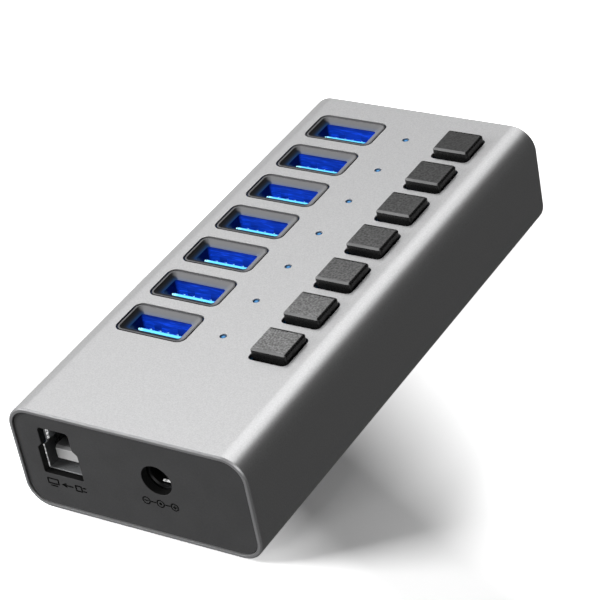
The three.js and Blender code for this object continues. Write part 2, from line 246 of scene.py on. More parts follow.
class Shape:
    """The surface of one piece while it is being made."""

    def __init__(self):
        self.mesh = bmesh.new()

    def face(self, points, material=0):
        face = self.mesh.faces.new([self.mesh.verts.new(point) for point in points])
        face.material_index = material

    def join(self, rings, closed=False, filled=(0, -1), material=0, materials=None):
        """Joins rings of points side by side, and fills those at the given ends."""
        rows = [[self.mesh.verts.new(point) for point in ring] for ring in rings]
        pairs = list(zip(rows, rows[1:] + rows[:1]))[: None if closed else -1]
        materials = materials or [material] * len(rows)
        for i, (one, two) in enumerate(pairs):
            for j in range(len(one)):
                k = (j + 1) % len(one)
                self.mesh.faces.new((one[j], one[k], two[k], two[j])).material_index = materials[i]
        for i in () if closed else filled:
            self.mesh.faces.new(rows[i]).material_index = materials[i]

    def sweep(self, corners, radius, profile, place=upright, **how):
        """Carries an (inset, height) profile round an outline."""
        least = how.pop("least", SMALLEST_RADIUS)
        rings = [place(outline(corners, radius, inset, least), height) for inset, height in profile]
        self.join(rings, **how)

    def turn(self, profile, x, z, place=along_y, steps=ROUND_STEPS, **how):
        """Carries a (radius, height) profile round an axis."""
        rings = [place(circle(max(r, 1e-3), x, z, steps), height) for r, height in profile]
        self.join(rings, **how)

    def strip(self, steps, section, **how):
        """Joins the sections of a bent strip, which a function gives for shares of its length."""
        self.join([section(step / steps) for step in range(steps + 1)], **how)

    def block(self, low, high, edge, material=0):
        """A box with rounded edges, between two corners."""
        low, high = Vector(low), Vector(high)
        size, middle = high - low, (low + high) / 2
        corners = rectangle(size.x, size.y, middle.x, middle.y)
        self.sweep(corners, edge, block_profile(low.z, high.z, edge), material=material)

    def fill(self, outer, holes, marks, place, level, sunk_level=0.0):
        """A flat face with holes. Every area inside an odd number of marks lies at sunk_level."""
        loops = [outer, *holes, *marks]
        points = [point for loop in loops for point in loop]
        starts = [sum(len(loop) for loop in loops[:i]) for i in range(len(loops))]
        index = [list(range(start, start + len(loop))) for start, loop in zip(starts, loops)]
        verts, _, faces, _, _, owners = delaunay_2d_cdt(points, [], index, 1, 1e-5)
        first_mark = 1 + len(holes)
        for face, owner in zip(faces, owners):
            if 0 not in owner or any(0 < loop < first_mark for loop in owner):
                continue
            sunk = sum(loop >= first_mark for loop in owner) % 2
            height = sunk_level if sunk else level
            self.face(place([Vector(verts[i]) for i in face], height), material=sunk)
        for mark in marks:
            self.join([place(mark, level), place(mark, sunk_level)], filled=(), material=1)

    def piece(self, name, materials, slot, node=None, body=HUB):
        """Makes the Blender object, in metres, that rides on a body and stands for a CAD node."""
        bmesh.ops.remove_doubles(self.mesh, verts=self.mesh.verts, dist=1e-4)
        bmesh.ops.recalc_face_normals(self.mesh, faces=self.mesh.faces)
        bmesh.ops.scale(self.mesh, vec=(MM, MM, MM), verts=self.mesh.verts)
        return finish_piece(name, self.mesh, materials, node, body)


def finish_piece(name, mesh, materials, node, body=HUB):
    data = bpy.data.meshes.new(name)
    mesh.to_mesh(data)
    mesh.free()
    data.shade_smooth()
    data.set_sharp_from_angle(angle=SHARP_ANGLE)
    for material in materials:
        data.materials.append(material)
    piece = add_object(name, data)
    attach(piece, body)
    if node:
        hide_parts(node)
    piece.modifiers.new("weighted normals", "WEIGHTED_NORMAL").keep_sharp = True
    return piece


def add_bevel(piece, width):
    bevel = piece.modifiers.new("edges", "BEVEL")
    bevel.width = width * MM
    bevel.segments = 2
    bevel.limit_method = "ANGLE"
    return bevel


def add_glow(piece, glow_at):
    """Keeps how brightly each point of a piece glows, as a function gives it for a place."""
    glow = piece.data.attributes.new("glow", "FLOAT", "POINT")
    for i, vertex in enumerate(piece.data.vertices):
        glow.data[i].value = glow_at(vertex.co / MM)


# ---- materials ----

def add_node(tree, kind, sockets=None, **settings):
    """A shader node, each socket of which holds a value or is linked to an output."""
    node = tree.nodes.new("ShaderNode" + kind)
    for name, value in settings.items():
        setattr(node, name, value)
    for name, value in (sockets or {}).items():
        if isinstance(value, bpy.types.NodeSocket):
            tree.links.new(value, node.inputs[name])
        else:
            node.inputs[name].default_value = value
    return node


class Finish:
    """A material built from nodes, laid out in the row frame's own coordinates."""

    def __init__(self, name, **sockets):
        self.material = bpy.data.materials.new(name)
        self.material.use_nodes = True
        self.tree = self.material.node_tree
        self.shader = self.tree.nodes["Principled BSDF"]
        for socket, value in sockets.items():
            self.shader.inputs[socket.replace("_", " ")].default_value = value
        self.place = self.node("TexCoord").outputs["Object"]

    def node(self, kind, sockets=None, **settings):
        return add_node(self.tree, kind, sockets, **settings)

    def math(self, operation, one, two):
        return self.node("Math", {0: one, 1: two}, operation=operation).outputs[0]

    def axis(self, letter, place=None):
        """One coordinate of each point, in metres."""
        return self.node("SeparateXYZ", {"Vector": place or self.place}).outputs[letter]

    def noise(self, size, detail=3.0, stretch=(1, 1, 1)):
        """Noise whose features are about size millimetres, longer along the axes that stretch."""
        scale = [1 / (size * MM * factor) for factor in stretch]
        mapping = self.node("Mapping", {"Vector": self.place, "Scale": scale})
        return self.node("TexNoise", {
            "Vector": mapping.outputs["Vector"], "Scale": 1.0, "Detail": detail,
        }).outputs["Fac"]

    def ramp(self, factor, *stops):
        """Colours at places along a factor, as (place, colour); a lone number is a grey."""
        node = self.node("ValToRGB", {"Fac": factor})
        elements = node.color_ramp.elements
        while len(elements) < len(stops):
            elements.new(0.5)
        for element, (position, colour) in zip(elements, stops):
            element.position = position
            element.color = (*(colour if isinstance(colour, tuple) else [colour] * 3), 1)
        return node.outputs["Color"]

    def spread(self, factor, low, high, start=0.3, end=0.7):
        return self.node("MapRange", {
            "Value": factor, "From Min": start, "From Max": end, "To Min": low, "To Max": high,
        }).outputs["Result"]

    def set(self, socket, output):
        self.tree.links.new(output, self.shader.inputs[socket])
        return self

    def tint(self, factor, dark, light, start=0.3, end=0.7):
        return self.set("Base Color", self.ramp(factor, (start, dark), (end, light)))

    def gloss(self, factor, low, high):
        return self.set("Roughness", self.spread(factor, low, high))

    def emit(self, factor, *stops):
        return self.set("Emission Color", self.ramp(factor, *stops))

    def bump(self, height, strength, depth):
        """Adds relief, depth millimetres deep, on top of any relief that is already there."""
        before = self.shader.inputs["Normal"].links
        sockets = {"Height": height, "Strength": strength, "Distance": depth * MM}
        if before:
            sockets["Normal"] = before[0].from_socket
        return self.set("Normal", self.node("Bump", sockets).outputs["Normal"])


def anodised_aluminium():
    """Sand-blasted and anodised: a fine matt grain, with faint extrusion lines along the case."""
    finish = Finish("anodised aluminium", Metallic=0.8)
    grain = finish.noise(0.3, 2)
    lines = finish.noise(0.5, 2, (1, 60, 1))
    finish.tint(grain, (0.57, 0.57, 0.575), (0.67, 0.67, 0.675)).gloss(lines, 0.37, 0.41)
    return finish.bump(grain, 0.3, 0.03).bump(lines, 0.04, 0.02).material


def cut_aluminium(name, dark, light):
    """A sawn or chamfered end of the housing, with the fine lines of the cutter."""
    finish = Finish(name, Metallic=0.85)
    streaks = finish.noise(0.1, 2, (8, 1, 1))
    finish.tint(streaks, dark, light).gloss(streaks, 0.35, 0.45)
    return finish.bump(streaks, 0.1, 0.01).material


def moulded_plastic(name, dark, light, rough, grain_size=0.3, relief=0.03, strength=0.3):
    """Plastic from a spark-eroded mould: a fine pebbled grain and slight unevenness of tone."""
    finish = Finish(name, Specular_IOR_Level=0.45)
    grain = finish.noise(grain_size)
    finish.tint(finish.noise(6), dark, light).gloss(grain, rough - 0.06, rough + 0.06)
    return finish.bump(grain, strength, relief).material


def grained_button():
    """The switch caps' leather-like grain, with painted shade that darkens them along the row."""
    finish = Finish("button grain", Specular_IOR_Level=0.3)
    grain = finish.noise(0.48)
    near, far = (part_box(f"button_cap_{row}")[0].y for row in (ROWS[0], ROWS[-1]))
    # Painted shade: the caps' tone falls from the near end of the row to the far end.
    tone_variation = finish.ramp(finish.spread(finish.axis("Y"), 0.0, 1.0, near, far), *BUTTON_PAINTED_SHADE)
    speckle = finish.spread(grain, 0.11, 0.32, 0.35, 0.65)
    finish.set("Base Color", finish.math("MULTIPLY", tone_variation, speckle)).gloss(grain, 0.45, 0.55)
    return finish.bump(grain, 0.7, 0.05).material


def plated_steel(name, tone, rough, metallic=1.0):
    """Nickel plating on rolled sheet, with rolling lines and faint smudges."""
    finish = Finish(name, Metallic=metallic)
    smudge = finish.noise(2.5, 4)
    finish.tint(smudge, tuple(0.86 * value for value in tone), tone)
    finish.gloss(smudge, rough - 0.05, rough + 0.07)
    return finish.bump(finish.noise(0.12, 2, (14, 14, 1)), 0.12, 0.008).material


def mouth_metal():
    """The sockets' satin mouths, with painted shade on the walls that face away from the front
    left and in the depth, and a painted blue glow for the blue light they catch."""
    finish = Finish("satin mouth", Specular_IOR_Level=0.06, Emission_Strength=1.0)
    grain = finish.noise(0.15, 2)
    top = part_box("usb_a_shell_1")[1].z
    depth = finish.spread(finish.axis("Z"), 1.0, 0.0, top - MOUTH_SLOPE * MM, top - 0.3 * MM)
    # Painted shade: the base colour darkens on walls facing away from the front left, and with
    # depth.
    normal = finish.node("TexCoord").outputs["Normal"]
    facing = finish.node(
        "VectorMath", {0: normal, 1: (-0.8, -0.6, 0.0)}, operation="DOT_PRODUCT").outputs["Value"]
    tone = finish.math("ADD", facing, finish.math("MULTIPLY", finish.noise(1.8, 4), 0.06))
    tone = finish.math("ADD", tone, finish.math("MULTIPLY", depth, -0.42))
    finish.set("Base Color", finish.ramp(
        finish.spread(tone, 0.0, 1.0, -0.4, 0.4), (0.1, (0.018, 0.018, 0.019)),
        (0.25, (0.045, 0.045, 0.047)), (0.5, (0.16, 0.16, 0.165)), (1.0, (0.2, 0.2, 0.205))))
    finish.emit(depth, (0.0, 0.0), (0.4, (0.002, 0.008, 0.02)), (1.0, (0.003, 0.035, 0.13)))
    return finish.gloss(grain, 0.45, 0.6).bump(grain, 0.15, 0.01).material


def lit_shell():
    """The steel inside a socket, washed with blue light as far as the attribute 'glow' says."""
    finish = Finish("blue-lit steel", Metallic=0.6, Roughness=0.35)
    streaks = finish.noise(0.45, 3, (7, 1, 0.8))
    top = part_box("usb_a_shell_1")[1].z
    depth = finish.spread(finish.axis("Z"), 0.0, 1.0, top - 0.8 * MM, top - 6.0 * MM)
    finish.tint(streaks, (0.004, 0.008, 0.03), (0.008, 0.02, 0.07)).emit(
        depth, (0.0, (0.001, 0.006, 0.06)), (0.06, (0.002, 0.015, 0.22)),
        (0.2, (0.003, 0.034, 0.43)), (0.7, (0.003, 0.036, 0.44)), (1.0, (0.001, 0.012, 0.2)))
    finish.set("Emission Strength", finish.node("Mix", {
        "Factor": 1.0, "A": finish.ramp(streaks, (0.35, 0.75), (0.55, 1.0), (0.72, 1.9)),
        "B": finish.node("Attribute", attribute_name="glow").outputs["Fac"],
    }, data_type="RGBA", blend_type="MULTIPLY").outputs["Result"])
    return finish.bump(streaks, 0.1, 0.01).material


def lit_blue_plastic():
    """Blue plastic lit from its root, which glows more towards the tip of the tongue."""
    finish = Finish("lit blue plastic", Roughness=0.3, Coat_Weight=0.3)
    streaks = finish.noise(0.5, 3, (1, 1, 5))
    low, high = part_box("usb_a_insulator_1")
    rise = finish.spread(finish.axis("Z"), 0.0, 1.0, low.z + 0.55 * (high.z - low.z), high.z)
    finish.tint(streaks, (0.004, 0.02, 0.32), (0.006, 0.035, 0.45)).emit(
        rise, (0.0, (0.0, 0.006, 0.10)), (0.8, (0.002, 0.03, 0.42)), (1.0, (0.02, 0.25, 0.8)))
    finish.set("Emission Strength", finish.spread(streaks, 0.8, 1.2))
    return finish.bump(streaks, 0.1, 0.01).material


def lit_tip():
    """The tongue's end face, where the light leaves it: brightest at its left end."""
    finish = Finish("lit tip", Roughness=0.3)
    sparkle = finish.noise(0.35)
    low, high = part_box("usb_a_insulator_1")
    left = (low.x + high.x - TONGUE[0] * MM) / 2
    end = finish.spread(finish.axis("X"), 1.0, 0.0, left + 0.1 * MM, left + 1.4 * MM)
    finish.tint(sparkle, (0.02, 0.25, 0.6), (0.05, 0.4, 0.8))
    finish.emit(end, (0.0, (0.16, 0.76, 0.92)), (1.0, (0.5, 1.0, 1.0)))
    finish.set("Emission Strength", finish.spread(end, 0.95, 1.6, 0.0, 1.0))
    return finish.bump(sparkle, 0.1, 0.01).material


def lit_contacts():
    """Plated contacts beside the lit tongue, gleaming at their upper bends."""
    finish = Finish("lit contacts", Metallic=1.0, Emission_Strength=1.0)
    tone_variation = finish.noise(0.5)
    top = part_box("usb_a_insulator_1")[1].z
    gleam = finish.spread(finish.axis("Z"), 0.0, 1.0, top - 1.1 * MM, top - 0.2 * MM)
    finish.tint(tone_variation, (0.05, 0.12, 0.35), (0.12, 0.25, 0.55)).gloss(tone_variation, 0.2, 0.35).emit(
        gleam, (0.3, (0.002, 0.03, 0.40)), (0.5, (0.35, 0.8, 0.95)), (0.68, (0.35, 0.8, 0.95)),
        (0.85, (0.001, 0.02, 0.30)))
    return finish.bump(tone_variation, 0.06, 0.01).material


def status_light():
    """A clear light pipe, white-blue over the lamp and deeper blue towards its edge."""
    finish = Finish("status light", Roughness=0.2, Specular_IOR_Level=0.1)
    glow = finish.node("Attribute", attribute_name="glow").outputs["Fac"]
    haze = finish.noise(0.2, 2)
    finish.tint(haze, (0.01, 0.04, 0.12), (0.015, 0.06, 0.16)).emit(
        glow, (0.0, (0.006, 0.03, 0.055)), (0.3, (0.015, 0.07, 0.15)), (0.7, (0.07, 0.24, 0.47)),
        (1.0, (0.12, 0.33, 0.6)))
    finish.set("Emission Strength", finish.spread(glow, 0.8, 1.0, 0.0, 1.0))
    return finish.bump(haze, 0.05, 0.005).material


def contact_metal():
    finish = Finish("gilded contacts", Metallic=1.0)
    tone_variation = finish.noise(0.6)
    finish.tint(tone_variation, (0.62, 0.44, 0.18), (0.80, 0.62, 0.30)).gloss(tone_variation, 0.18, 0.32)
    return finish.bump(tone_variation, 0.06, 0.01).material


def tongue_plastic():
    """Grey plastic of the computer socket: pale at its end face, painted shade in the depth."""
    finish = Finish("tongue plastic", Roughness=0.5, Specular_IOR_Level=0.2)
    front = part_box("usb_b_insulator")[0].y
    depth = finish.spread(finish.axis("Y"), 0.0, 1.0, front, front + 5 * MM)
    # Painted shade: the base colour falls from the end face into the socket's depth.
    finish.set("Base Color", finish.ramp(
        depth, (0.012, 0.40), (0.02, 0.17), (0.14, 0.12), (0.6, 0.03), (1.0, 0.012)))
    return finish.bump(finish.noise(0.3), 0.1, 0.01).material


def polished_spring_painted_glint():
    """Polished spring metal with a painted glint, a white glow, in the mouth of a socket."""
    finish = Finish("polished spring, painted glint", Metallic=0.4, Emission_Color=(1, 1, 1, 1))
    tone_variation = finish.noise(0.45)
    finish.tint(tone_variation, (0.55, 0.55, 0.56), (0.85, 0.85, 0.86)).gloss(tone_variation, 0.15, 0.3)
    # Painted glint: a white glow whose strength follows the noise.
    finish.set("Emission Strength", finish.spread(tone_variation, 0.08, 0.65, 0.42, 0.58))
    return finish.bump(tone_variation, 0.1, 0.02).material


def solder_mask():
    """Green lacquer over copper tracks, with the tracks as low ridges."""
    finish = Finish("green solder mask", Coat_Weight=0.4)
    mapping = finish.node("Mapping", {"Vector": finish.place, "Scale": (520, 520, 520)})
    tracks = finish.node("TexBrick", {
        "Vector": mapping.outputs["Vector"], "Scale": 1.0, "Mortar Size": 0.06,
        "Brick Width": 1.7, "Row Height": 0.45,
    }).outputs["Fac"]
    finish.tint(tracks, (0.008, 0.10, 0.035), (0.02, 0.20, 0.07), 0.2, 0.8)
    return finish.gloss(finish.noise(3), 0.3, 0.45).bump(tracks, 0.3, 0.03).material


def rubber():
    finish = Finish("soft rubber")
    dust = finish.noise(1.2, 5)
    finish.tint(dust, (0.012, 0.012, 0.013), 0.03, 0.35, 0.75).gloss(dust, 0.75, 0.92)
    return finish.bump(finish.noise(0.12), 0.3, 0.02).material


ALUMINIUM = anodised_aluminium()
END_METAL = cut_aluminium("sawn end", (0.40, 0.40, 0.41), (0.48, 0.48, 0.49))
EDGE_METAL = cut_aluminium("chamfered edge", (0.56, 0.56, 0.57), (0.64, 0.64, 0.65))
CAP_PLASTIC = moulded_plastic("cap plastic", (0.042, 0.042, 0.043), (0.048, 0.048, 0.049), 0.62)
# Near-black plastic for the sunk marks, also used as painted shade on the caps' hole walls and the
# socket lips' outer edges.
MARKS_AND_PAINTED_SHADE = moulded_plastic("sunk marks and painted shade", 0.002, 0.004, 0.8)
BUTTON_TOP = grained_button()
# The front chamfers' pale tone is a painted highlight.
BUTTON_EDGE_PAINTED_HIGHLIGHT = moulded_plastic(
    "button edge with painted highlight", (0.15, 0.15, 0.151), (0.20, 0.20, 0.201), 0.4, 0.4, 0.02, 0.2)
BUTTON_SIDE_AND_PAINTED_SHADE = moulded_plastic("button sides and painted shade", 0.006, 0.010, 0.28, 0.4, 0.01, 0.1)
BLACK_PLASTIC = moulded_plastic("socket black", (0.007, 0.007, 0.008), (0.012, 0.012, 0.013), 0.42)
GREY_PLASTIC = moulded_plastic("natural grey", 0.30, (0.34, 0.34, 0.335), 0.5, 0.3, 0.01, 0.1)
TONGUE_PLASTIC = tongue_plastic()
HOST_STEEL = plated_steel("computer socket steel", (0.40, 0.41, 0.42), 0.3, 0.7)
SPRING_PAINTED_GLINT = polished_spring_painted_glint()
EPOXY = moulded_plastic("chip epoxy", (0.018, 0.018, 0.019), (0.028, 0.028, 0.029), 0.6)
STEEL = plated_steel("plated steel", (0.62, 0.63, 0.65), 0.24)
SOCKET_STEEL = plated_steel("socket shell steel", (0.50, 0.52, 0.56), 0.3)
CAN_METAL = plated_steel("capacitor can", (0.55, 0.56, 0.60), 0.35)
MOUTH = mouth_metal()
LIT_SHELL = lit_shell()
BLUE_PLASTIC = lit_blue_plastic()
LIT_TIP = lit_tip()
LIT_CONTACT = lit_contacts()
STATUS_LIGHT = status_light()
GOLD = contact_metal()
SOLDER_MASK = solder_mask()
RUBBER = rubber()


# ---- housing, caps and feet ----

def make_housing():
    """The CAD housing, its end chamfers worn wider and its edges rounded. The sides, the flat ends
    and the chamfers have a material each."""
    mesh = bmesh.new()
    mesh.from_mesh(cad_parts["housing"].data)
    bmesh.ops.remove_doubles(mesh, verts=mesh.verts, dist=1e-7)
    bmesh.ops.dissolve_limit(
        mesh, angle_limit=math.radians(0.5), verts=mesh.verts, edges=mesh.edges)
    length = max(vert.co.y for vert in mesh.verts)
    least, most = CHAMFER_TILT
    chamfered = {}
    for face in mesh.faces:
        tilt = abs(face.normal.y)
        if abs(face.calc_center_median().y) <= length - MM or tilt <= least:
            continue
        face.material_index = 1 if tilt > most else 2
        if tilt <= most:
            for vert in face.verts:
                chamfered.setdefault(vert, Vector())
                chamfered[vert] += face.normal
    for vert, facing in chamfered.items():
        if abs(vert.co.y) > length - 0.01 * MM:
            facing.y = 0
            vert.co -= facing.normalized() * CHAMFER_WORN * MM
        else:
            vert.co.y -= math.copysign(CHAMFER_WORN * MM, vert.co.y)
    materials = [ALUMINIUM, END_METAL, EDGE_METAL]
    piece = finish_piece("housing_tube", mesh, materials, "housing")
    bevel = add_bevel(piece, HOUSING_EDGE)
    bevel.angle_limit = SHARP_ANGLE
    bevel.use_clamp_overlap = False
    piece.modifiers.move(1, 0)


def make_cap(node, facing, holes=(), marks=()):
    """A cap plate; facing is -1 for the end at -Y. Each hole is a function that gives its
    outline at an inset."""
    low, high, _ = node_box(node)
    outer_y = low.y if facing < 0 else high.y
    inner_y = outer_y - facing * CAP_THICKNESS
    edge, rim = 0.15, 0.1
    housing_low, housing_high, middle = node_box("housing")
    size = housing_high - housing_low
    inset = 2 * (HOUSING_WALL + CAP_EDGE_GAP)
    corners = rectangle(size.x - inset, size.z - inset, middle.x, middle.z)
    radius = HOUSING_RADIUS - inset / 2
    shape = Shape()
    side = rounded_line([(edge * 2, outer_y), (0, outer_y), (0, inner_y)], edge)[1:]
    shape.sweep(corners, radius, side, along_y, filled=())
    wall = rounded_line([(-rim * 2, outer_y), (0, outer_y), (0, inner_y)], rim)[1:]
    # Painted shade: the holes' walls take the near-black mark plastic.
    for hole in holes:
        shape.join([along_y(hole(inset), y) for inset, y in wall], filled=(),
                   materials=[0] * EDGE_STEPS + [1])
    shape.fill(outline(corners, radius, edge), [hole(-rim) for hole in holes], marks, along_y,
               outer_y, outer_y - facing * MARK_DEPTH)
    shape.fill(outline(corners, radius), [hole(0) for hole in holes], [], along_y, inner_y)
    shape.piece(node.replace("_", "_end_"), [CAP_PLASTIC, MARKS_AND_PAINTED_SHADE], "dark_plastic", node)


def make_cap_tabs(node, facing):
    """The four tabs behind a cap that grip the housing's top and bottom walls."""
    low, high, _ = node_box(node)
    thickness, width, aside = 1.2, 18, 14.5
    start = low.y + (CAP_THICKNESS if facing < 0 else 0)
    end = high.y - (CAP_THICKNESS if facing > 0 else 0)
    shape = Shape()
    for x in (-aside, aside):
        for z in (low.z, high.z - thickness):
            shape.block((x - width / 2, start, z), (x + width / 2, end, z + thickness), 0.2)
    shape.piece(node + "_tabs", [CAP_PLASTIC], "dark_plastic")


def bar(x0, x1, y, width):
    """A level stroke with round ends."""
    return outline(rectangle(x1 - x0 + width, width, (x0 + x1) / 2, y), width * 0.45, steps=3)


def ring(x, y, radius, width):
    return [circle(radius, x, y, 32), circle(radius - width, x, y, 32)]


def frame_outline(width, height, x, y, stroke):
    corners = rectangle(width, height, x, y)
    return [outline(corners, 0.25), outline(corners, 0.25, stroke)]


def plus(x, y, reach, width):
    half = width / 2
    quarter = [(half, -reach), (half, -half), (reach, -half)]
    points = []
    for turn in range(4):
        spin = Matrix.Rotation(math.pi / 2 * turn, 2)
        points += [spin @ Vector(point) + Vector((x, y)) for point in quarter]
    return points


def computer_mark(x, y):
    """A screen on its stand, an arrow that points to it, and a plug: 'to the computer'."""
    line, shaft, barb = 0.4, 0.2, 0.72
    arrow = [Vector(point) for point in (
        (x - 1.4, y), (x, y - barb), (x, y - shaft), (x + 1.7, y - shaft), (x + 1.7, y + shaft),
        (x, y + shaft), (x, y + barb))]
    return [*frame_outline(3.1, 1.7, x - 3.5, y + 0.3, line),
            bar(x - 4.3, x - 2.7, y - 0.95, line), arrow,
            *frame_outline(1.9, 1.8, x + 3.15, y, line),
            bar(x + 4.4, x + 5.0, y + 0.45, line), bar(x + 4.4, x + 5.0, y - 0.45, line)]


def polarity_mark(x, y):
    """The usual drawing of a barrel plug: minus outside and plus in the middle."""
    line, size, step = 0.32, 1.05, 3.55
    return [*ring(x - step, y, size, line), bar(x - step - 0.4, x - step + 0.4, y, line),
            bar(x - 2.3, x - 1.25, y, line), *ring(x, y, size, line), circle(0.36, x, y, 20),
            bar(x + 1.25, x + 2.3, y, line), *ring(x + step, y, size, line),
            plus(x + step, y, 0.5, line)]


def host_corners(gap=0.0):
    """The stepped outline of the computer socket, gap wider than its shell all round."""
    low, high, middle = node_box("usb_b_shell")
    lower = (high.x - low.x) / 2 + gap
    upper = lower - HOST_STEP_WIDTH
    step = HOST_STEP_Z - (GLUE_GAP - gap) * (math.sqrt(2) - 1)
    top = high.z + gap
    half = [(lower, low.z - gap), (lower, step), (upper, step + HOST_STEP_WIDTH),
            (upper, top - HOST_TOP_CUT), (upper - HOST_TOP_CUT, top)]
    mirrored = [(-x, z) for x, z in reversed(half)]
    return [Vector((middle.x + x, z)) for x, z in half + mirrored]


def make_caps():
    jack_x = node_box("power_jack_body")[2].x
    pin_z = node_box("power_jack_pin")[2].z
    host_low, _, host = node_box("usb_b_shell")
    hole = host_corners(GLUE_GAP)
    holes = [
        lambda inset: outline(hole, 0.25, inset, least=0.1, steps=3),
        lambda inset: circle(POWER_HOLE_RADIUS - inset, jack_x, pin_z),
    ]
    marks = computer_mark(host.x, host_low.z - 2.7) + polarity_mark(jack_x - 0.4, pin_z - 6.2)
    make_cap("front_cap", -1, holes, marks)
    make_cap("rear_cap", 1)
    make_cap_tabs("front_cap", -1)
    make_cap_tabs("rear_cap", 1)


def make_feet():
    """Moulded rubber feet with a domed rim, on a disc of glue that reaches the housing."""
    housing_low, _, _ = node_box("housing")
    for node in sorted(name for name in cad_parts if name.startswith("foot_")):
        low, high, middle = node_box(node)
        radius = (high.x - low.x) / 2
        profile = rounded_line(
            [(radius - 1.4, 0.1), (radius - 0.9, 0), (radius - 0.3, 0), (radius, high.z * 0.7),
             (radius, high.z), (radius - 0.5, high.z)], [0, 0.15, 0.15, 0.15, 0.06, 0])
        glue = [(radius - 0.6, high.z), (radius - 0.6, housing_low.z)]
        shape = Shape()
        for line in (profile, glue):
            shape.turn(line, middle.x, middle.y, upright)
        shape.piece(node.replace("foot", "rubber_foot"), [RUBBER], "rubber", node)


# ---- USB-A sockets ----

def make_socket_shell(row):
    """A pressed steel tube whose mouth flares out to a rounded lip, with leaf springs inside."""
    node = f"usb_a_shell_{row}"
    low, high, middle = node_box(node)
    size = high - low
    inner = (size.x - SHELL_INNER[0]) / 2
    outer = inner - SHELL_SHEET
    top = high.z
    profile = rounded_line(
        [(outer, low.z), (outer, top - MOUTH_SLOPE - 0.75), (0, top - 1.0), (0, top),
         (MOUTH_LIP, top), (inner, top - MOUTH_SLOPE), (inner, low.z)],
        [0.08, 0.3, 0.2, 0.12, 0.12, 0.1, 0.08], closed=True)
    inside = [i for i, point in enumerate(profile) if point.x >= inner - 1e-4]
    start = inside[0]
    end = next(i for i in inside if profile[i].y < low.z + 1)
    materials = [0] * start + [1] * (end - start) + [2] * (len(profile) - end)
    # Painted shade: the lip's outer edge takes the near-black mark plastic, for the gap round the
    # mouth.
    for i, point in enumerate(profile):
        if point.x < MOUTH_PAINTED_GAP_SHADE and point.y > top - 0.95:
            materials[i] = 3
    shape = Shape()
    shape.sweep(rectangle(size.x, size.y, middle.x, middle.y), MOUTH_RADIUS, profile,
                closed=True, least=0.7, materials=materials)
    for side in (-1, 1):
        for x in (-3.1, 3.1):
            wall = middle.y + side * SHELL_INNER[1] / 2
            add_leaf(shape, middle.x + x, wall, top - 2.6, side)
    materials = [MOUTH, LIT_SHELL, SOCKET_STEEL, MARKS_AND_PAINTED_SHADE]
    piece = shape.piece(f"socket_{row}_shell", materials, "plated_steel", node)
    lit_y = middle.y + SHELL_INNER[1] / 2
    add_glow(piece, lambda place: max(0.03, 1 - 8 * max((lit_y - place.y) / SHELL_INNER[1], 0)))


def add_leaf(shape, x, wall_y, z, side):
    """A leaf spring that leaves a socket's wall, bows inwards and comes back to it."""
    width, length, bow, sheet = 2.0, 4.6, 0.38, 0.16

    def section(share):
        y = wall_y - side * (bow * math.sin(math.pi * share) ** 1.5 + 0.02)
        half = width / 2 * (1 - 0.25 * share)
        return [Vector((x + across, y + side * back, z - length * share))
                for across, back in flat_section(half, sheet)]

    shape.strip(10, section, material=1)


def add_contact(shape, x, face, top):
    """A spring contact that bows out of the tongue's face, narrow at its upper end."""
    length, bow, sheet = 4.6, 0.85, 0.15

    def section(share):
        share **= 1.6
        y = face - 0.05 - sheet + bow * math.sin(math.pi * share ** 0.35)
        half = 0.2 + 0.28 * min(1, 2 * share)
        return [Vector((x + across, y + out, top - length * share))
                for across, out in flat_section(half, sheet)]

    shape.strip(16, section, material=2)


def make_socket_insulator(row):
    """The blue base and tongue, nine contacts on its +Y face, and the lamp at its left end."""
    node = f"usb_a_insulator_{row}"
    low, high, middle = node_box(node)
    tongue_y = node_box(f"usb_a_shell_{row}")[2].y + TONGUE_OFFSET
    base_top = low.z + TONGUE_BASE
    shape = Shape()
    shape.block(low, (high.x, high.y, base_top), 0.2)
    tip = 0.12
    profile = rounded_line(
        [(0, base_top - 0.5), (0, high.z - tip), (tip, high.z), (LIT_INSET, high.z),
         (LIT_INSET + 0.1, high.z)], [0, 0.06, 0.06, 0.01, 0])
    shape.sweep(rectangle(*TONGUE, middle.x, tongue_y), 0.18, profile, least=0.06,
                materials=[0 if point.x < LIT_INSET - 0.05 else 1 for point in profile])
    face = tongue_y + TONGUE[1] / 2
    for x in LONG_CONTACTS:
        add_contact(shape, middle.x + x, face, high.z - 0.2)
    lamp = Vector((middle.x - TONGUE[0] / 2 - 0.3, face - 0.3, high.z - 0.25))
    shape.block(lamp - Vector((0.1, 0.2, 0.5)), lamp + Vector((0.35, 0.2, 0.1)), 0.1, material=1)
    for x in (middle.x + x for x in SHORT_CONTACTS):
        shape.block((x - 0.3, face - 0.2, high.z - 1.05), (x + 0.3, face + 0.1, high.z - 0.35),
                    0.05, material=2)
    materials = [BLUE_PLASTIC, LIT_TIP, LIT_CONTACT]
    shape.piece(f"socket_{row}_tongue", materials, "blue_plastic", node)


# ---- switches and status lights ----

